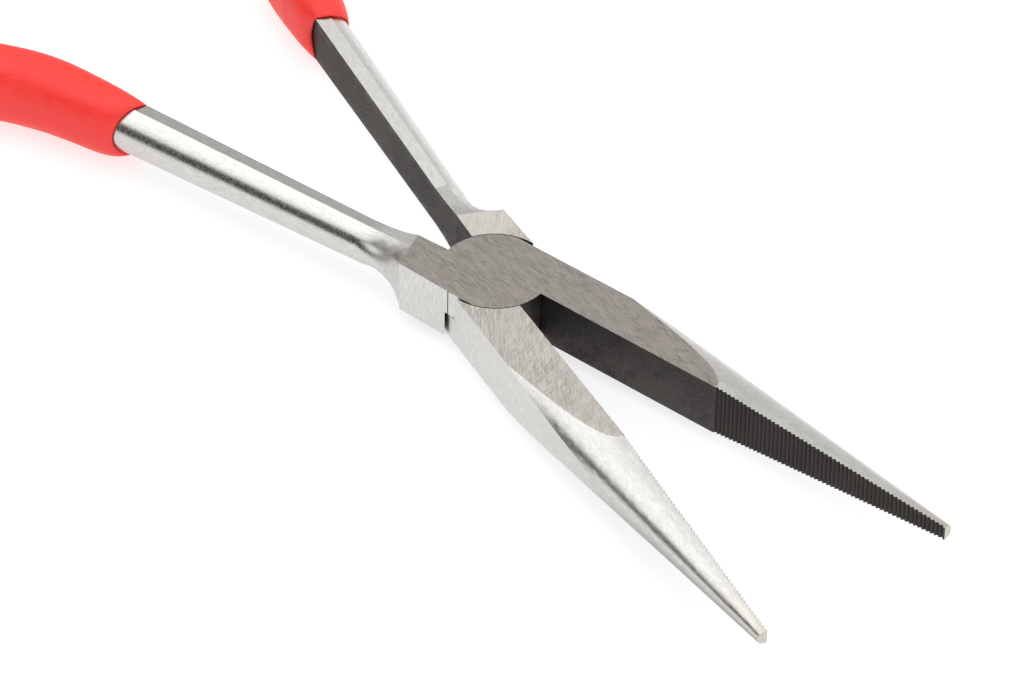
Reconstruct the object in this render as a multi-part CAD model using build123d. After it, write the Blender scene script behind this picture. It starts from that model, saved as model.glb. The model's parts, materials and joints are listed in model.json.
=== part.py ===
from build123d import *
from math import atan2, cos, pi, radians, sin, tan
import os

# Long-reach needle-nose pliers with a lap joint, as five separate pieces, in millimetres.
#
# Each half is one forging: a long serrated jaw, a half-thickness lap disc and a handle.
# The two forgings have the same shape: the second is the first turned half a turn about X.
# A flush rivet joins them, and a soft vinyl sleeve covers each handle.
#
# Frame: Z is the hinge axis, +X runs along the tool to the jaw tips, and z = 0 is the
# underside of the joint.  The tool is stored partly open, evenly about the X axis.
# A half is drawn shut, with its parting plane at z = 0 and its jaw on the +Y side.

# Whole tool
OVERALL = 280.0          # shut, from the tips to the ends of the sleeves
JAW_LENGTH = 78.3        # hinge axis to the tip
HALF_THICK = 4.2         # half the thickness of the joint
HALF_WIDTH = 7.7         # hinge axis to the ground side of the joint
HALF_OPEN = 11.76        # degrees that each half is turned away from shut, as stored

# Lap joint
DISC_RADIUS = 8.0
DISC_GAP = 0.14          # between a lap disc and the other half's shoulder
LAP_GAP = 0.03           # between the two laps
RIVET_RADIUS = 2.75
RIVET_HEAD_RADIUS = 4.0
RIVET_HEAD_DEPTH = 1.3
RIVET_CLEARANCE = 0.04   # running clearance in the half that turns on the rivet

# Jaw: a rounded cone, cut flat at the joint's thickness and on its gripping face
FACE_RELIEF = 0.33       # the gripping face stands back by this at the hinge axis
TIP_CLEARANCE = 0.02     # left between each shut jaw and the middle plane
CONE_HALF_WIDTH = 12.13  # at the hinge axis
CONE_HALF_HEIGHT = 7.22
CONE_WIDTH_TAPER = 0.1358    # lost for each millimetre towards the tip
CONE_HEIGHT_TAPER = 0.0782
CONE_SQUARENESS = 2.6    # exponent of the section: 2 is an ellipse, more is squarer
SIDE_BLEND_RADIUS = 215.0    # plan curve between the ground side and the tapering nose
TEETH_START = 38.8
TEETH_COUNT = 56
TOOTH_PITCH = 0.7
TOOTH_DEPTH = 0.32

# Shoulder, where the joint's block meets the shank
CROTCH_INSET = 0.3       # the handle's inner side stands this far back at the hinge axis
SHOULDER_INNER = (-13.3, -0.8)
SHOULDER_OUTER = (-11.4, -7.35)
SHOULDER_SQUARENESS = 14

# Shank: half an ellipse, flat on its inner side, with a flat bevel from there to a ridge
SHANK_START = -17.2
SHANK_END = -70.0        # here the handle starts to bend outwards
SHANK_SLOPE = 2.95       # degrees
SHANK_START_INNER = 1.2  # hinge axis to the inner face at the start
SHANK_DEPTHS = (4.4, 5.45)
SHANK_HALF_HEIGHTS = (3.72, 4.5)
SHANK_SQUARENESS = 2.0
BEVEL_RIDGE = 0.4        # share of the depth, from the inner face to the ridge
BEVEL_CORNER = 0.86      # share of the half height, at the inner face

# Flare between the shank and the shoulder, halfway along
FLARE_INNER = (-15.0, -1.0)
FLARE_OUTER = (-14.3, -6.4)
FLARE_HALF_HEIGHT = 4.08
FLARE_SQUARENESS = 2.2
FLARE_CORNER = 0.92
FLARE_RUN = 3.5          # the flare starts this far along the straight shank

# Handle: outwards, then back to run nearly straight
OUTWARD_RADIUS = 45.0
OUTWARD_TURN = 18.5
MIDDLE_RUN = 16.0
RETURN_RADIUS = 110.0
RETURN_TURN = 24.0
TANG_END_GAP = 12.0      # the steel stops this far short of the sleeve's end

# Sleeve.  Its mouth is cut at a slant, so that it reaches further forward on the inner side.
SLEEVE_START = -58.0     # where the lofted sleeve begins, before its mouth is cut
MOUTH_MIDDLE = (-62.6, -6.0)
MOUTH_SLANT = 5.0
# Distance along the handle, half width, half height, and shift outwards
SLEEVE_STATIONS = (
    (0.0, 3.20, 5.00, -0.30),
    (8.0, 4.05, 5.30, -0.22),
    (14.0, 4.50, 5.45, -0.15),
    (20.0, 4.80, 5.65, -0.40),
    (26.5, 4.70, 5.85, -0.40),
    (33.0, 4.50, 6.00, -0.25),
    (41.0, 4.50, 6.15, -0.10),
    (62.0, 5.00, 6.40, 0.00),
    (92.0, 5.50, 6.50, 0.00),
    (120.0, 5.30, 6.40, 0.00),
)
SLEEVE_END = (5.00, 6.10)    # half width and half height where the handle ends
SLEEVE_SQUARENESS = 2.4
SLEEVE_END_ROUNDING = 4.0

SECTION_STEPS = 24


def rounded_curve(half_width, half_height, squareness, first, last):
    """A spline along a superellipse between two angles, counted from its top."""
    points = []
    for step in range(SECTION_STEPS + 1):
        angle = first + (last - first) * step / SECTION_STEPS
        size = (abs(sin(angle)) ** squareness + abs(cos(angle)) ** squareness) ** (-1 / squareness)
        points.append((half_width * size * sin(angle), half_height * size * cos(angle)))
    return Spline(*points)


def d_section(plane, depth, half_height, squareness):
    """A section with a flat inner side at the plane's origin, its depth along the plane's X."""
    curve = rounded_curve(depth, half_height, squareness, 0, pi)
    return plane * make_face(Wire([curve, Line(curve @ 1, curve @ 0)]))


def bevelled_section(plane, depth, half_height, squareness, corner):
    """A D section whose inner corners are cut back in a straight line from a ridge."""
    ridge = atan2(BEVEL_RIDGE, (1 - BEVEL_RIDGE ** squareness) ** (1 / squareness))
    curve = rounded_curve(depth, half_height, squareness, ridge, pi - ridge)
    corner_height = corner * half_height
    inner = Polyline(curve @ 1, (0, -corner_height), (0, corner_height), curve @ 0)
    return plane * make_face(Wire([curve] + inner.edges()))


def oval_section(plane, half_width, half_height, squareness):
    right = rounded_curve(half_width, half_height, squareness, 0, pi)
    left = rounded_curve(half_width, half_height, squareness, pi, 2 * pi)
    return plane * make_face(Wire([right, left]))


def slab(sketch, low, high):
    """A plan outline given thickness between two heights."""
    return extrude(Pos(0, 0, low) * sketch, high - low)


def face_offset(x):
    """How far the gripping face stands off the middle plane."""
    return FACE_RELIEF * (1 - x / JAW_LENGTH) + TIP_CLEARANCE


def nose_width(x):
    return CONE_HALF_WIDTH - CONE_WIDTH_TAPER * x


def jaw_plan():
    """The jaw from above, with a long curve where its side starts to taper."""
    corner = (CONE_HALF_WIDTH - HALF_WIDTH) / CONE_WIDTH_TAPER
    outline = make_face(Polyline(
        (0, face_offset(0)), (JAW_LENGTH, face_offset(JAW_LENGTH)),
        (JAW_LENGTH, nose_width(JAW_LENGTH)), (corner, HALF_WIDTH), (0, HALF_WIDTH), close=True))
    bend = outline.vertices().sort_by_distance((corner, HALF_WIDTH, 0))[0]
    return fillet(bend, SIDE_BLEND_RADIUS)


def nose_cone():
    """The rounded cone that the jaw is cut from, on the jaw's side of the middle plane."""
    ends = []
    for x in (0.0, JAW_LENGTH):
        plane = Plane(origin=(x, 0, 0), x_dir=(0, 1, 0), z_dir=(1, 0, 0))
        half_height = CONE_HALF_HEIGHT - CONE_HEIGHT_TAPER * x
        ends.append(d_section(plane, nose_width(x), half_height, CONE_SQUARENESS))
    return loft(ends, ruled=True)


def shoulder_plan():
    return make_face(Polyline(
        (0, -CROTCH_INSET), SHOULDER_INNER, SHOULDER_OUTER, (0, -HALF_WIDTH), close=True))


def disc_plan():
    """The lap disc, with the joint's ground sides cut across it."""
    return Circle(DISC_RADIUS) & Rectangle(4 * DISC_RADIUS, 2 * HALF_WIDTH)


def teeth_cutter():
    """A saw-toothed strip that cuts upright grooves across the gripping face."""
    below = -1.0
    points = [(TEETH_START, below)]
    for count in range(TEETH_COUNT):
        crest = TEETH_START + count * TOOTH_PITCH
        root = crest + TOOTH_PITCH / 2
        points.append((crest, face_offset(crest)))
        points.append((root, face_offset(root) + TOOTH_DEPTH))
    end = TEETH_START + TEETH_COUNT * TOOTH_PITCH
    points += [(end, face_offset(end)), (end, below)]
    return slab(make_face(Polyline(*points, close=True)), -2 * HALF_THICK, 2 * HALF_THICK)


def handle_path():
    """The handle's middle line, from the shank's start to the sleeve's end."""
    drop = tan(radians(SHANK_SLOPE))
    start_y = -SHANK_START_INNER - SHANK_DEPTHS[0] / 2
    end_y = start_y + (SHANK_END - SHANK_START) * drop
    shank = Line((SHANK_START, start_y), (SHANK_END, end_y))
    outward = JernArc(shank @ 1, shank % 1, OUTWARD_RADIUS, OUTWARD_TURN)
    middle = Line(outward @ 1, outward @ 1 + (outward % 1) * MIDDLE_RUN)
    back = JernArc(middle @ 1, middle % 1, RETURN_RADIUS, -RETURN_TURN)
    run = (JAW_LENGTH - OVERALL - (back @ 1).X) / (back % 1).X
    tail = Line(back @ 1, back @ 1 + (back % 1) * run)
    return Wire([shank, outward, middle, back, tail])


def plane_at(path, distance, sideways=0.0):
    """The plane across the handle at a distance along it, its X pointing outwards."""
    along = path.tangent_at(distance, position_mode=PositionMode.LENGTH)
    outwards = Vector(0, 0, 1).cross(along)
    centre = path.position_at(distance, position_mode=PositionMode.LENGTH)
    return Plane(origin=centre + outwards * sideways, x_dir=outwards, z_dir=along)


def slanted_section(inner, outer, half_height, squareness, corner):
    """A bevelled section from a point on the inner side to a point on the outer side."""
    across = Vector(*outer) - Vector(*inner)
    plane = Plane(origin=Vector(*inner), x_dir=across, z_dir=Vector(0, 0, -1).cross(across))
    return bevelled_section(plane, across.length, half_height, squareness, corner)


def shank_section(path, distance, share):
    """The straight shank's section at a share of the way from its start to its end."""
    depth = SHANK_DEPTHS[0] + (SHANK_DEPTHS[1] - SHANK_DEPTHS[0]) * share
    half_height = SHANK_HALF_HEIGHTS[0] + (SHANK_HALF_HEIGHTS[1] - SHANK_HALF_HEIGHTS[0]) * share
    plane = plane_at(path, distance * share, -depth / 2)
    return bevelled_section(plane, depth, half_height, SHANK_SQUARENESS, BEVEL_CORNER)


def shank_and_tang(path):
    """The flared root, the straight shank, and the bent tang inside the sleeve."""
    length = (SHANK_START - SHANK_END) / cos(radians(SHANK_SLOPE))
    flare_end = shank_section(path, length, FLARE_RUN / length)
    last = shank_section(path, length, 1)
    flare = loft([
        slanted_section(SHOULDER_INNER, SHOULDER_OUTER, HALF_THICK, SHOULDER_SQUARENESS, 1),
        slanted_section(FLARE_INNER, FLARE_OUTER, FLARE_HALF_HEIGHT, FLARE_SQUARENESS, FLARE_CORNER),
        flare_end,
    ])
    flare &= Box(OVERALL, OVERALL, 2 * HALF_THICK)
    tang_path = path.trim(length / path.length, 1 - TANG_END_GAP / path.length)
    return flare + loft([flare_end, last], ruled=True) + sweep(last, path=tang_path)


def half(steel_handle, hole_clearance):
    """One forging, shut, with its lap disc above the parting plane."""
    block = jaw_plan() + shoulder_plan()
    upper = slab(block + disc_plan(), LAP_GAP / 2, HALF_THICK)
    lower = slab(block - Circle(DISC_RADIUS + DISC_GAP), -HALF_THICK, LAP_GAP / 2)
    body = upper + lower
    ahead = Pos(JAW_LENGTH, 0, 0) * Box(2 * JAW_LENGTH, 8 * HALF_WIDTH, 4 * HALF_THICK)
    jaw = (body & ahead) & (nose_cone() + slab(disc_plan(), -HALF_THICK, HALF_THICK))
    forging = (jaw - teeth_cutter()) + (body - ahead) + steel_handle
    hole = Cylinder(RIVET_RADIUS + hole_clearance, 4 * HALF_THICK)
    sink = Pos(0, 0, HALF_THICK - RIVET_HEAD_DEPTH / 2) * Cone(
        RIVET_RADIUS + hole_clearance, RIVET_HEAD_RADIUS + hole_clearance, RIVET_HEAD_DEPTH)
    return forging - hole - sink


def rivet():
    """A shank with a conical head filling each countersink, ground flush."""
    head = Pos(0, 0, HALF_THICK - RIVET_HEAD_DEPTH / 2) * Cone(
        RIVET_RADIUS, RIVET_HEAD_RADIUS, RIVET_HEAD_DEPTH)
    return Cylinder(RIVET_RADIUS, 2 * HALF_THICK) + head + mirror(head, about=Plane.XY)


def sleeve(path, steel_handle):
    """The vinyl sleeve: lofted outside, closed at its end, hollow where the steel is."""
    begin = (SHANK_START - SLEEVE_START) / cos(radians(SHANK_SLOPE))
    faces = []
    for distance, half_width, half_height, sideways in SLEEVE_STATIONS:
        plane = plane_at(path, begin + distance, sideways)
        faces.append(oval_section(plane, half_width, half_height, SLEEVE_SQUARENESS))
    faces.append(oval_section(plane_at(path, path.length), *SLEEVE_END, SLEEVE_SQUARENESS))
    outside = loft(faces)
    end_face = outside.faces().sort_by(Axis.X)[0]
    rounded = fillet(end_face.edges(), SLEEVE_END_ROUNDING)
    slant = Pos(*MOUTH_MIDDLE, 0) * Rot(0, 0, -MOUTH_SLANT)
    ahead = slant * Pos(OVERALL / 2, 0, 0) * Box(OVERALL, OVERALL, OVERALL)
    return rounded - ahead - steel_handle


def place(shape, turned_over):
    """From where a half is drawn to where it is in the stored tool."""
    lift = Pos(0, 0, HALF_THICK)
    if turned_over:
        return lift * Rot(0, 0, -HALF_OPEN) * Rot(180, 0, 0) * shape
    return lift * Rot(0, 0, HALF_OPEN) * shape


def main():
    os.makedirs("parts", exist_ok=True)
    path = handle_path()
    steel_handle = shank_and_tang(path)
    grip = sleeve(path, steel_handle)
    pieces = {
        "upper_lap_half": place(half(steel_handle, 0.0), False),
        "lower_lap_half": place(half(steel_handle, RIVET_CLEARANCE), True),
        "pivot_rivet": Pos(0, 0, HALF_THICK) * rivet(),
        "upper_half_grip": place(grip, False),
        "lower_half_grip": place(grip, True),
    }
    for name, shape in pieces.items():
        export_step(shape, f"parts/{name}.step")


main()
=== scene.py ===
import bpy
import json
import math
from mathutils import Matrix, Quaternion, Vector, noise


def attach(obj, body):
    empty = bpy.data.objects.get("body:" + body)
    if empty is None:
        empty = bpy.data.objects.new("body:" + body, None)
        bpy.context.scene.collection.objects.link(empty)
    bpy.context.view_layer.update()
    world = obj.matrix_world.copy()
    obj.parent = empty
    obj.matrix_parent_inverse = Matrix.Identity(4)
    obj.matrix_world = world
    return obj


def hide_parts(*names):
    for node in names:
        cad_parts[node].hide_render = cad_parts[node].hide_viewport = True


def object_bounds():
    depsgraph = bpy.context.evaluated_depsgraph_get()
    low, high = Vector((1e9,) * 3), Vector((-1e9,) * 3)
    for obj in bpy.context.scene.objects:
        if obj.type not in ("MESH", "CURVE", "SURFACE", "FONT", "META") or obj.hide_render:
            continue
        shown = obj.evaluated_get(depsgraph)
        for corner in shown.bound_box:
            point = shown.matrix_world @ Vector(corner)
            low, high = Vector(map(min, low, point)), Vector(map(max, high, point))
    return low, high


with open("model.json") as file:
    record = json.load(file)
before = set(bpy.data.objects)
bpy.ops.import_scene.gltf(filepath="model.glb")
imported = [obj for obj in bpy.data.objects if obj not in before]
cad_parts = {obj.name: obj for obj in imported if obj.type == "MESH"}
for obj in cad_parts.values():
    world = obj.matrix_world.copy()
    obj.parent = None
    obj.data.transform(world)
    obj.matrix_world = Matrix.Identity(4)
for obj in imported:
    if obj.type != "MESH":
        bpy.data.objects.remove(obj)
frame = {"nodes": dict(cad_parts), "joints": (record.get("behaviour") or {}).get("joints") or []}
cad_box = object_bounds()
scene = bpy.context.scene
hinge = frame["joints"][0]

MM = 0.001
HALF_OPEN = math.radians(hinge["range_deg"][1] / 2)
MIDDLE_Z = hinge["pos_m"][2]
HALF_THICK = MIDDLE_Z
FLOOR_Z = cad_box[0][2]
FLOOR_HALF_WIDTH = 5.0
UPPER, LOWER = "upper_half", "lower_half"

# The view: azimuth 0 looks along +Y, 90 along -X.
VIEW_AZIMUTH = math.radians(49.84)
VIEW_ELEVATION = math.radians(41.12)
VIEW_ROLL = math.radians(1.04)
VIEW_DISTANCE = 0.9137
LENS = 229.76
LOOK_AT = Vector((0.00946, -0.00461, MIDDLE_Z))

# The jaw's own shape, for the finish of its faces, in metres
JAW_LENGTH = 78.3 * MM
FACE_RELIEF = 0.33 * MM
TEETH_START = 38.8 * MM
DISC_RADIUS = 8.0 * MM
DISC_GAP = 0.14 * MM
ARC_RADIUS = 8.1 * MM
DOT_PLACE = (-2.4 * MM, 0.6 * MM)

# Scratches on the flats, in degrees from the main direction
CROSSING_ANGLE = 24
LONG_SCRATCH_TURN = 14

# Colours of clean steel
POLISHED = (0.635, 0.63, 0.61)
GROUND = (0.64, 0.642, 0.62)

# The handle's middle line, drawn as for the upper half when shut: (length, turn outwards)
HANDLE_START = (-17.2 * MM, -3.4 * MM)
HANDLE_HEADING = math.radians(2.95)
HANDLE_RUNS = (
    (52.87 * MM, 0.0),
    (14.53 * MM, math.radians(18.5)),
    (16.0 * MM, 0.0),
    (46.08 * MM, math.radians(-24.0)),
    (80.0 * MM, 0.0),
)
HANDLE_END_X = -201.3 * MM
HANDLE_STEP = 0.25 * MM

# The sleeve, by distance from where its sections start, in millimetres
SLEEVE_SECTIONS_START_X = -58.0 * MM
MOUTH_X = -62.4 * MM
SLEEVE_STATIONS = (
    (0.0, 3.20, 5.00, -0.30),
    (8.0, 4.05, 5.30, -0.22),
    (14.0, 4.50, 5.45, -0.15),
    (20.0, 4.80, 5.65, -0.40),
    (26.5, 4.70, 5.85, -0.40),
    (33.0, 4.50, 6.00, -0.25),
    (41.0, 4.50, 6.15, -0.10),
    (62.0, 5.00, 6.40, 0.00),
    (92.0, 5.50, 6.50, 0.00),
    (120.0, 5.30, 6.40, 0.00),
    (144.5, 5.00, 6.10, 0.00),
)
SLEEVE_SQUARENESS = 2.4
END_ROUNDING = 5.0 * MM
END_RINGS = 13
RING_POINTS = 72
RING_SPACING = 1.2 * MM
# The lip: (distance behind the mouth in millimetres, share of the way from the steel outwards)
LIP = (
    (3.0, -0.06), (1.0, -0.06), (0.3, -0.06), (0.06, 0.12), (0.0, 0.24), (0.06, 0.40),
    (0.3, 0.56), (0.9, 0.72), (1.8, 0.86), (3.0, 0.95), (4.5, 1.0),
)
MOUTH_FADE = 8.0 * MM

# The steel inside the mouth: half an ellipse with a bevel, at the shank's start and where it bends
SHANK_START_X = -17.2 * MM
SHANK_BEND_X = -70.0 * MM
SHANK_DEPTHS = (4.4 * MM, 5.45 * MM)
SHANK_HALF_HEIGHTS = (3.72 * MM, 4.5 * MM)
BEVEL_RIDGE = 0.4
BEVEL_CORNER = 0.86
HALVINGS = 24    # steps of the search for the outline


# ---------------------------------------------------------------- shader nodes

class Shader:
    """A material's node tree, with short calls for the nodes that it needs."""

    def __init__(self, name):
        self.material = bpy.data.materials.new(name)
        self.material.use_nodes = True
        self.tree = self.material.node_tree
        self.surface = self.tree.nodes["Principled BSDF"]

    def add(self, kind, *values, out=0, **settings):
        node = self.tree.nodes.new("ShaderNode" + kind)
        for key, value in settings.items():
            setattr(node, key, value)
        for socket, value in zip(node.inputs, values):
            self.put(socket, value)
        return node.outputs[out]

    def put(self, socket, value):
        if isinstance(value, bpy.types.NodeSocket):
            self.tree.links.new(value, socket)
        elif value is not None:
            socket.default_value = value

    def math(self, operation, *values):
        return self.add("Math", *values, operation=operation)

    def product(self, first, *others):
        for value in others:
            first = self.math("MULTIPLY", first, value)
        return first

    def size(self, value):
        return self.math("ABSOLUTE", value)

    def distance(self, across, up):
        return self.math("POWER", self.math("ADD", self.product(across, across), self.product(up, up)), 0.5)

    def parts(self, vector):
        """A vector's three numbers."""
        return list(self.add("SeparateXYZ", vector).node.outputs)

    def ramp(self, value, low, high, to_low=0.0, to_high=1.0):
        """A smooth step from one value to another."""
        return self.add("MapRange", value, low, high, to_low, to_high, interpolation_type="SMOOTHSTEP")

    def mix(self, share, first, second):
        node = self.tree.nodes.new("ShaderNodeMix")
        node.data_type = "RGBA"
        for name, value in (("Factor_Float", share), ("A_Color", first), ("B_Color", second)):
            self.put(next(s for s in node.inputs if s.identifier == name), value)
        return next(s for s in node.outputs if s.identifier == "Result_Color")

    def mix_number(self, share, first, second):
        node = self.tree.nodes.new("ShaderNodeMix")
        for name, value in (("Factor_Float", share), ("A_Float", first), ("B_Float", second)):
            self.put(next(s for s in node.inputs if s.identifier == name), value)
        return node.outputs[0]

    def noise(self, vector, scale, detail=3.0, roughness=0.55):
        texture = self.tree.nodes.new("ShaderNodeTexNoise")
        self.put(texture.inputs["Vector"], vector)
        texture.inputs["Scale"].default_value = scale
        texture.inputs["Detail"].default_value = detail
        texture.inputs["Roughness"].default_value = roughness
        return texture.outputs["Fac"]

    def stretch(self, vector, scale):
        return self.add("VectorMath", vector, scale, operation="MULTIPLY")

    def set(self, **values):
        for name, value in values.items():
            self.put(self.surface.inputs[name.replace("_", " ").title()], value)

    def bump(self, height, distance, normal=None):
        node = self.tree.nodes.new("ShaderNodeBump")
        node.inputs["Distance"].default_value = distance
        self.put(node.inputs["Height"], height)
        self.put(node.inputs["Normal"], normal)
        return node.outputs["Normal"]


def own_frame(shader, vector, turned_over, is_point):
    """Turns a vector to how the half is drawn when shut, its jaw on the +Y side."""
    if is_point:
        vector = shader.add("VectorMath", vector, (0, 0, MIDDLE_Z), operation="SUBTRACT")
    turn = shader.tree.nodes.new("ShaderNodeVectorRotate")
    turn.rotation_type = "Z_AXIS"
    shader.put(turn.inputs["Vector"], vector)
    turn.inputs["Angle"].default_value = HALF_OPEN if turned_over else -HALF_OPEN
    if turned_over:
        return shader.stretch(turn.outputs[0], (1, -1, -1))
    return turn.outputs[0]


def steel_masks(shader, place, normal, turned_over):
    """Where each finish is: the flat top and bottom, the ground sides, and the dark inner faces."""
    x, y, z = shader.parts(place)
    facing = shader.parts(normal)
    level = shader.ramp(shader.size(facing[2]), 0.985, 0.995)
    surface = shader.ramp(shader.size(z), HALF_THICK - 0.03 * MM, HALF_THICK - 0.01 * MM)
    relief = shader.add("MapRange", x, 0, JAW_LENGTH, FACE_RELIEF, 0)
    depth = shader.math("SUBTRACT", y, relief)
    gripping = shader.product(
        shader.ramp(x, 7.5 * MM, 7.9 * MM),
        shader.ramp(depth, 0.42 * MM, 0.36 * MM),
        shader.ramp(facing[1], -0.2, -0.4))
    shank_inside = shader.product(shader.ramp(x, -7.4 * MM, -7.9 * MM), shader.ramp(facing[1], 0.93, 0.975))
    radius = shader.distance(x, y)
    dark = shader.math("MAXIMUM", gripping, shank_inside)
    dark = shader.math("MAXIMUM", dark, disc_wall(shader, x, y, facing, radius))
    side = shader.product(
        shader.ramp(shader.size(facing[1]), 0.975, 0.992),
        shader.ramp(shader.size(x), 34 * MM, 22 * MM),
        shader.math("SUBTRACT", 1.0, dark))
    return {
        "place": place, "x": x, "y": y, "z": z, "radius": radius, "depth": depth,
        "flat": shader.product(level, surface), "dark": dark, "side": side, "gripping": gripping,
        "downward": facing[2] if turned_over else shader.math("MULTIPLY", facing[2], -1.0),
    }


def disc_wall(shader, x, y, facing, radius):
    """The round walls of the disc and of the hollow that it turns in."""
    away = shader.math("SUBTRACT", radius, DISC_RADIUS + DISC_GAP)
    near = shader.ramp(shader.size(away), 0.24 * MM, 0.20 * MM)
    outward = shader.math("ADD", shader.product(x, facing[0]), shader.product(y, facing[1]))
    radial = shader.math("DIVIDE", shader.size(outward), radius)
    return shader.product(near, shader.ramp(radial, 0.990, 0.994))


def line_noise(shader, masks, angle, along, across, bend=0.0):
    """Noise drawn out along one direction in the plan of a flat, slightly bent."""
    x, y = masks["x"], masks["y"]
    cosine, sine = math.cos(math.radians(angle)), math.sin(math.radians(angle))
    run = shader.math("ADD", shader.product(x, cosine), shader.product(y, sine))
    offset = shader.math("ADD", shader.product(x, -sine), shader.product(y, cosine))
    offset = shader.math("ADD", offset, shader.product(run, run, bend))
    place = shader.add("CombineXYZ", shader.product(run, along), shader.product(offset, across), angle)
    return shader.noise(place, 1.0, 3.0, 0.6)


def scratches(shader, masks, angle):
    """Short curved scratches on the flats, upright lines on the ground sides, streaks along the rest."""
    fine = line_noise(shader, masks, angle, 460.0, 6000.0, 3.0)
    crossed = line_noise(shader, masks, angle + CROSSING_ANGLE, 560.0, 5200.0, -4.0)
    flat = shader.mix_number(0.42, fine, crossed)
    upright = shader.noise(shader.stretch(masks["place"], (5600.0, 1.0, 520.0)), 1.0, 3.0, 0.65)
    along = shader.noise(shader.stretch(masks["place"], (620.0, 3600.0, 3600.0)), 1.0, 3.0, 0.65)
    along = shader.mix_number(0.25, along, shader.noise(masks["place"], 2200.0, 3.0))
    result = shader.mix_number(masks["flat"], along, flat)
    return shader.mix_number(masks["side"], result, upright)


def scaled(colour, factor):
    return tuple(factor * c for c in colour) + (1,)


def clean_colour(shader, masks, grain, top_colour, angle, turned_over):
    """Bright steel: polished rounds, scratched flats and ground sides."""
    streak = shader.ramp(grain["lines"], 0.36, 0.64)
    polished = shader.mix(streak, scaled(POLISHED, 0.87), scaled(POLISHED, 1.03))
    flat = shader.mix(streak, scaled(top_colour, 0.78), scaled(top_colour, 1.24))
    flat = shader.mix(shader.ramp(grain["cloud"], 0.40, 0.62, 0.0, 0.35), flat, scaled(top_colour, 1.14))
    long_scratch = line_noise(shader, masks, angle - LONG_SCRATCH_TURN, 170.0, 5200.0, 2.0)
    flat = shader.mix(shader.ramp(long_scratch, 0.66, 0.72, 0.0, 0.45), flat, scaled(top_colour, 1.4))
    if turned_over:
        # Painted highlight: on the lower half the flat is painted lighter towards the shoulder.
        shoulder = shader.ramp(masks["x"], -4 * MM, -9 * MM, 0.0, 0.55)
        flat = shader.mix(shoulder, flat, scaled(top_colour, 1.5))
    ground = shader.mix(streak, scaled(GROUND, 0.86), scaled(GROUND, 1.08))
    colour = shader.mix(masks["flat"], polished, flat)
    return shader.mix(masks["side"], colour, ground)


def oxide_colour(shader, masks, grain):
    """Dark mottled oxide on the gripping faces, the disc's walls and the shanks' inner sides."""
    x = masks["x"]
    smudge = shader.math("ADD", shader.product(grain["cloud"], 0.55), shader.product(grain["patch"], 0.45))
    smudge = shader.ramp(smudge, 0.40, 0.60)
    jaw = shader.mix(smudge, (0.030, 0.026, 0.024, 1), (0.082, 0.074, 0.070, 1))
    jaw = shader.mix(shader.ramp(grain["grit"], 0.45, 0.70, 0.0, 0.5), jaw, (0.115, 0.105, 0.100, 1))
    jaw = shader.mix(shader.ramp(x, 22 * MM, 40 * MM, 0.0, 0.35), jaw, (0.115, 0.108, 0.104, 1))
    shank = shader.mix(smudge, (0.020, 0.014, 0.011, 1), (0.064, 0.054, 0.048, 1))
    blotch = shader.ramp(shader.noise(masks["place"], 420.0, 4.0), 0.42, 0.62)
    edge = shader.ramp(shader.size(masks["z"]), 1.8 * MM, 3.4 * MM, 0.0, 0.75)
    shank = shader.mix(shader.product(edge, blotch), shank, (0.120, 0.120, 0.122, 1))
    shank = shader.mix(shader.ramp(grain["grit"], 0.46, 0.66, 0.0, 0.5), shank, (0.100, 0.092, 0.086, 1))
    oxide = shader.mix(shader.ramp(x, -7.0 * MM, -9.0 * MM), jaw, shank)
    toothed = shader.ramp(x, TEETH_START - 0.2 * MM, TEETH_START + 0.1 * MM)
    crest = shader.product(masks["gripping"], shader.ramp(masks["depth"], 0.12 * MM, 0.02 * MM), toothed)
    oxide = shader.mix(shader.product(toothed, 0.45), oxide, (0.030, 0.027, 0.026, 1))
    return shader.mix(shader.product(crest, 0.6), oxide, (0.13, 0.115, 0.105, 1))


def wear_and_painted_shade_colour(shader, masks, grain, colour):
    """Straw tint at the tip, painted shade on the nose's downward-facing side, and a few dark specks."""
    x = masks["x"]
    clean = shader.math("SUBTRACT", 1.0, masks["dark"])
    straw = shader.ramp(grain["patch"], 0.35, 0.65, 0.1, 0.6)
    tip = shader.product(shader.ramp(x, 66 * MM, JAW_LENGTH - 0.1 * MM), clean, straw)
    colour = shader.mix(tip, colour, (0.50, 0.42, 0.31, 1))
    # Painted shade: the nose's downward-facing side is painted darker, more so towards the tip, standing in
    # for a darker reflection there.
    low = shader.product(
        shader.ramp(masks["downward"], -0.30, 0.30),
        shader.ramp(x, JAW_LENGTH - 0.05 * MM, JAW_LENGTH - 0.15 * MM),
        shader.ramp(x, 30 * MM, 62 * MM, 0.0, 0.72),
        clean)
    colour = shader.mix(low, colour, (0.17, 0.155, 0.14, 1))
    speck = shader.ramp(shader.noise(masks["place"], 900.0, 1.0), 0.82, 0.85)
    return shader.mix(shader.product(speck, 0.35), colour, (0.12, 0.11, 0.10, 1))


def steel_roughness(shader, masks, grain):
    x = masks["x"]
    root = shader.product(shader.ramp(x, -21 * MM, -17 * MM), shader.ramp(x, -8 * MM, -11 * MM))
    polished = shader.ramp(x, -2.0 * MM, 8.0 * MM, 0.25, 0.34)
    polished = shader.math("ADD", polished, shader.ramp(grain["grit"], 0.35, 0.65, -0.04, 0.05))
    polished = shader.math("ADD", polished, shader.product(root, 0.20))
    rough = shader.mix_number(masks["flat"], polished, shader.ramp(grain["lines"], 0.3, 0.7, 0.26, 0.36))
    rough = shader.mix_number(masks["side"], rough, 0.34)
    return shader.mix_number(masks["dark"], rough, shader.ramp(grain["cloud"], 0.2, 0.8, 0.46, 0.62))


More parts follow.
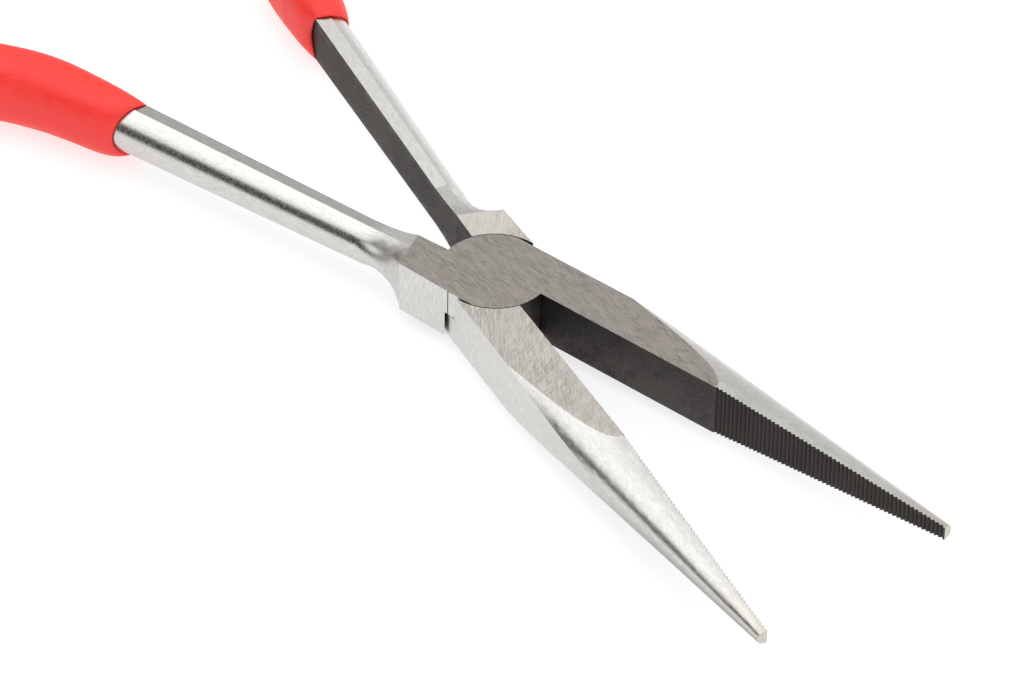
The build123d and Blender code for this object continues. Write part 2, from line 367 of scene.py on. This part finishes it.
def steel_material(name, turned_over, top_colour, angle):
    shader = Shader(name)
    coordinates = shader.add("TexCoord").node.outputs
    place = own_frame(shader, coordinates["Object"], turned_over, True)
    normal = own_frame(shader, coordinates["Normal"], turned_over, False)
    masks = steel_masks(shader, place, normal, turned_over)
    grain = {
        "lines": scratches(shader, masks, angle),
        "cloud": shader.noise(place, 180.0, 5.0),
        "patch": shader.noise(place, 60.0, 4.0),
        "grit": shader.noise(place, 2600.0, 2.0),
    }
    colour = clean_colour(shader, masks, grain, top_colour, angle, turned_over)
    colour = shader.mix(masks["dark"], colour, oxide_colour(shader, masks, grain))
    colour = wear_and_painted_shade_colour(shader, masks, grain, colour)
    if not turned_over:
        colour = pivot_marks(shader, masks, colour)
    shader.set(base_color=colour, roughness=steel_roughness(shader, masks, grain), metallic=1.0)
    relief = shader.mix_number(masks["flat"], 0.28, 1.0)
    fine = shader.bump(shader.product(grain["lines"], relief), 0.012 * MM)
    shader.put(shader.surface.inputs["Normal"], shader.bump(grain["cloud"], 0.010 * MM, fine))
    return shader.material


def pivot_marks(shader, masks, colour):
    """A small punched dot by the pivot, and part of the disc's outline showing near the shoulder."""
    away = shader.math("SUBTRACT", masks["radius"], ARC_RADIUS)
    arc = shader.ramp(shader.size(away), 0.10 * MM, 0.04 * MM)
    sector = shader.ramp(masks["x"], -6.2 * MM, -7.0 * MM)
    colour = shader.mix(shader.product(arc, sector, masks["flat"], 0.22), colour, (0.62, 0.59, 0.55, 1))
    across = shader.math("SUBTRACT", masks["x"], DOT_PLACE[0])
    up = shader.math("SUBTRACT", masks["y"], DOT_PLACE[1])
    dot = shader.ramp(shader.distance(across, up), 0.17 * MM, 0.09 * MM)
    return shader.mix(shader.product(dot, masks["flat"], 0.75), colour, (0.05, 0.045, 0.04, 1))


def vinyl_material():
    shader = Shader("vinyl")
    place = shader.add("TexCoord").node.outputs["Object"]
    mottle = shader.noise(place, 420.0, 4.0)
    grain = shader.noise(place, 2400.0, 3.0)
    broad = shader.noise(place, 40.0, 2.0)
    shade = shader.mix_number(0.4, mottle, broad)
    colour = shader.mix(shader.ramp(shade, 0.3, 0.7), (0.94, 0.026, 0.020, 1), (1.0, 0.048, 0.036, 1))
    colour = shader.mix(shader.ramp(grain, 0.50, 0.75, 0.0, 0.25), colour, (1.0, 0.075, 0.06, 1))
    shader.set(base_color=colour, roughness=shader.ramp(mottle, 0.3, 0.7, 0.40, 0.56))
    fine = shader.bump(grain, 0.07 * MM)
    shader.put(shader.surface.inputs["Normal"], shader.bump(mottle, 0.10 * MM, fine))
    return shader.material


def floor_material():
    """A white table that also glows a little, so that it stays white under the tool."""
    shader = Shader("white_table")
    place = shader.add("TexCoord").node.outputs["Object"]
    cloud = shader.noise(place, 3.0, 2.0)
    shader.set(base_color=shader.mix(cloud, (0.38, 0.38, 0.385, 1), (0.40, 0.40, 0.40, 1)), roughness=0.8)
    shader.set(emission_color=(0.985, 0.995, 1.0, 1), emission_strength=0.70)
    return shader.material


# ---------------------------------------------------------------- sleeves

def handle_line():
    """(distance, x, y, heading) every quarter of a millimetre along the handle, drawn shut."""
    x, y = HANDLE_START
    heading, distance = HANDLE_HEADING, 0.0
    line = []
    for length, turn in HANDLE_RUNS:
        count = round(length / HANDLE_STEP)
        step = length / count
        for _ in range(count):
            line.append((distance, x, y, heading))
            middle = heading + turn / count / 2
            x -= step * math.cos(middle)
            y -= step * math.sin(middle)
            heading += turn / count
            distance += step
            if x < HANDLE_END_X:
                return line
    return line


def station_value(distance, column):
    """A smooth curve through one column of the sleeve's stations, in metres."""
    rows = SLEEVE_STATIONS
    place = min(max(distance / MM, rows[0][0]), rows[-1][0])
    k = max(i for i in range(len(rows) - 1) if rows[i][0] <= place)
    a, b = rows[k], rows[k + 1]
    before, after = rows[max(k - 1, 0)], rows[min(k + 2, len(rows) - 1)]
    width = b[0] - a[0]
    t = (place - a[0]) / width
    slope_a = (b[column] - before[column]) / (b[0] - before[0]) * width
    slope_b = (after[column] - a[column]) / (after[0] - a[0]) * width
    value = (2 * t**3 - 3 * t**2 + 1) * a[column] + (t**3 - 2 * t**2 + t) * slope_a
    value += (3 * t**2 - 2 * t**3) * b[column] + (t**3 - t**2) * slope_b
    return value * MM


def oval_reach(angle, half_width, half_height, squareness):
    """(across, up) of an oval's outline in a direction counted from its top."""
    sine, cosine = math.sin(angle), math.cos(angle)
    size = (abs(sine) ** squareness + abs(cosine) ** squareness) ** (-1 / squareness)
    return half_width * size * sine, half_height * size * cosine


def steel_outline(across, up, x):
    """The steel's outline in a direction from the handle's middle line, at a place along the shank."""
    share = (x - SHANK_START_X) / (SHANK_BEND_X - SHANK_START_X)
    depth = SHANK_DEPTHS[0] + (SHANK_DEPTHS[1] - SHANK_DEPTHS[0]) * share
    half_height = SHANK_HALF_HEIGHTS[0] + (SHANK_HALF_HEIGHTS[1] - SHANK_HALF_HEIGHTS[0]) * share
    ridge_height = math.sqrt(1 - BEVEL_RIDGE ** 2)
    low, high = 0.0, 3.0
    for _ in range(HALVINGS):
        reach = (low + high) / 2
        inset = reach * across / depth + 0.5
        height = abs(reach * up) / half_height
        if inset < BEVEL_RIDGE:
            limit = BEVEL_CORNER + (ridge_height - BEVEL_CORNER) * inset / BEVEL_RIDGE
            inside = inset > 0 and height < limit
        else:
            inside = inset ** 2 + height ** 2 < 1
        low, high = (reach, high) if inside else (low, reach)
    return low * across, low * up


def spot_at(line, distance):
    """(x, y, heading) at a distance along the handle."""
    place = min(max(distance / HANDLE_STEP, 0), len(line) - 2)
    k = int(place)
    t = place - k
    a, b = line[k], line[k + 1]
    return tuple(a[i] + (b[i] - a[i]) * t for i in (1, 2, 3))


def place_point(spot, across, up, turned_over):
    """From across and up on the handle's section to the stored tool."""
    x, y, heading = spot
    x += across * math.sin(heading)
    y -= across * math.cos(heading)
    side = -1 if turned_over else 1
    turn = HALF_OPEN * side
    y, up = y * side, up * side
    return Vector((
        x * math.cos(turn) - y * math.sin(turn),
        x * math.sin(turn) + y * math.cos(turn),
        MIDDLE_Z + up))


def mouth_shift(angle, turned_over):
    """How far forward the dipped edge runs, by direction round the handle from its top, outwards."""
    if turned_over:
        return (0.75 * math.cos(2 * angle) + 0.3 * math.sin(angle)) * MM
    return (-0.4 - 1.2 * math.cos(angle - math.radians(95))) * MM


def sleeve_rings(line):
    """(distance behind the mouth, share outwards from the steel, size) for each ring."""
    mouth = next(s[0] for s in line if s[1] < MOUTH_X)
    length = line[-1][0] - mouth
    rings = [(back * MM, share, 1.0) for back, share in LIP]
    lip = LIP[-1][0] * MM
    body = length - END_ROUNDING - lip
    count = round(body / RING_SPACING)
    for k in range(1, count + 1):
        rings.append((lip + body * k / count, 1.0, 1.0))
    for k in range(1, END_RINGS):
        angle = math.pi / 2 * k / END_RINGS
        back = length - END_ROUNDING * (1 - math.sin(angle))
        rings.append((back, 1.0, 0.25 + 0.75 * math.cos(angle)))
    return mouth, rings


def ring_points(line, mouth, ring, turned_over):
    """One ring: a share of 0 is on the steel, and 1 is the sleeve's outside."""
    start = next(s[0] for s in line if s[1] < SLEEVE_SECTIONS_START_X)
    back, share, size = ring
    fade = max(0.0, 1 - back / MOUTH_FADE)
    points = []
    for k in range(RING_POINTS):
        angle = 2 * math.pi * k / RING_POINTS
        distance = mouth + back - fade * mouth_shift(angle, turned_over)
        spot = spot_at(line, distance)
        half_width, half_height, sideways = (station_value(distance - start, c) for c in (1, 2, 3))
        across, up = oval_reach(angle, half_width * size, half_height * size, SLEEVE_SQUARENESS)
        across += sideways
        if share < 1:
            inner_across, inner_up = steel_outline(across, up, spot[0])
            across = share * across + (1 - share) * inner_across
            up = share * up + (1 - share) * inner_up
        points.append(place_point(spot, across, up, turned_over))
    return points


def make_sleeve(name, node, body, turned_over, material):
    line = handle_line()
    points, faces = [], []
    mouth, rings = sleeve_rings(line)
    for ring in rings:
        points += ring_points(line, mouth, ring, turned_over)
    for r in range(len(rings) - 1):
        for k in range(RING_POINTS):
            a, b = r * RING_POINTS + k, r * RING_POINTS + (k + 1) % RING_POINTS
            faces.append((a, a + RING_POINTS, b + RING_POINTS, b))
    end = list(range((len(rings) - 1) * RING_POINTS, len(rings) * RING_POINTS))
    points.append(sum((points[i] for i in end), Vector()) / RING_POINTS)
    for k in range(RING_POINTS):
        faces.append((end[k], len(points) - 1, end[(k + 1) % RING_POINTS]))
    mesh = bpy.data.meshes.new(name)
    mesh.from_pydata(points, [], faces)
    mesh.update()
    uneven(mesh)
    mesh.shade_smooth()
    mesh.materials.append(material)
    piece = bpy.data.objects.new(name, mesh)
    scene.collection.objects.link(piece)
    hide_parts(node)
    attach(piece, body)


def uneven(mesh):
    """Shallow dents in the dipped vinyl, inwards along each point's normal."""
    normals = [v.normal.copy() for v in mesh.vertices]
    for vertex, normal in zip(mesh.vertices, normals):
        dent = 0.09 + 0.07 * noise.noise(vertex.co * 60) + 0.035 * noise.noise(vertex.co * 260)
        vertex.co -= normal * max(dent, 0.02) * MM
    mesh.update()


# ---------------------------------------------------------------- stage

def make_camera():
    level = Vector((-math.sin(VIEW_AZIMUTH), math.cos(VIEW_AZIMUTH), 0))
    forward = level * math.cos(VIEW_ELEVATION) - Vector((0, 0, math.sin(VIEW_ELEVATION)))
    data = bpy.data.cameras.new("camera")
    data.lens = LENS
    camera = bpy.data.objects.new("camera", data)
    camera.location = LOOK_AT - forward * VIEW_DISTANCE
    camera.rotation_mode = "QUATERNION"
    camera.rotation_quaternion = forward.to_track_quat("-Z", "Y") @ Quaternion((0, 0, 1), VIEW_ROLL)
    scene.collection.objects.link(camera)
    scene.camera = camera


def make_floor():
    half = FLOOR_HALF_WIDTH
    corners = [(-half, -half, FLOOR_Z), (half, -half, FLOOR_Z), (half, half, FLOOR_Z), (-half, half, FLOOR_Z)]
    mesh = bpy.data.meshes.new("floor")
    mesh.from_pydata(corners, [], [(0, 1, 2, 3)])
    mesh.materials.append(floor_material())
    floor = bpy.data.objects.new("floor", mesh)
    scene.collection.objects.link(floor)


def make_world():
    """A white tent: a bright roof, a grey far wall, and a dark gap on the near side."""
    world = bpy.data.worlds.new("tent")
    scene.world = world
    world.use_nodes = True
    tree = world.node_tree
    background = tree.nodes["Background"]

    def add(kind, *values, **settings):
        node = tree.nodes.new("ShaderNode" + kind)
        for key, value in settings.items():
            setattr(node, key, value)
        for socket, value in zip(node.inputs, values):
            if isinstance(value, bpy.types.NodeSocket):
                tree.links.new(value, socket)
            else:
                socket.default_value = value
        return node

    direction = add("TexCoord").outputs["Generated"]
    roof = Vector((-0.183, -0.183, 0.966)).normalized()
    left = Vector((-0.60, -0.78, -0.15)).normalized()
    right = Vector((0.55, 0.83, 0))
    gap = add("VectorMath", direction, tuple(left), operation="DOT_PRODUCT").outputs["Value"]
    over = add("VectorMath", direction, tuple(roof), operation="DOT_PRODUCT").outputs["Value"]
    side = add("VectorMath", direction, tuple(right), operation="DOT_PRODUCT").outputs["Value"]
    walls = add("MapRange", side, 0.1, 0.6, 0.57, 1.02, interpolation_type="SMOOTHSTEP").outputs[0]
    open_side = add("MapRange", gap, 0.15, 0.60, 1.0, 0.10, interpolation_type="SMOOTHSTEP").outputs[0]
    walls = add("Math", walls, open_side, operation="MULTIPLY").outputs[0]
    ceiling = add("MapRange", over, 0.67, 0.715, 0.0, 1.0, interpolation_type="SMOOTHSTEP").outputs[0]
    lit = add("MapRange", over, 0.72, 0.95, 1.30, 1.75, interpolation_type="SMOOTHSTEP").outputs[0]
    ceiling = add("Math", ceiling, lit, operation="MULTIPLY").outputs[0]
    total = add("Math", walls, ceiling, operation="MAXIMUM").outputs[0]
    tree.links.new(total, background.inputs["Strength"])
    background.inputs["Color"].default_value = (1.0, 0.995, 0.985, 1)


# ---------------------------------------------------------------- scene

make_camera()
make_floor()
make_world()
scene.view_settings.view_transform = "Standard"

# Painted light: both halves are the same steel, but the upper half's flats are painted darker (painted shade)
# and the lower half's lighter (painted highlight).
steel_upper = steel_material("steel_upper", False, (0.362, 0.332, 0.304), -18.6)
steel_lower = steel_material("steel_lower", True, (0.590, 0.562, 0.522), 28.4)
steels = {"upper_lap_half": steel_upper, "pivot_rivet": steel_upper, "lower_lap_half": steel_lower}
for node, material in steels.items():
    for material_slot in frame["nodes"][node].material_slots:
        material_slot.material = material

vinyl = vinyl_material()
make_sleeve("upper_sleeve", "upper_half_grip", UPPER, False, vinyl)
make_sleeve("lower_sleeve", "lower_half_grip", LOWER, True, vinyl)
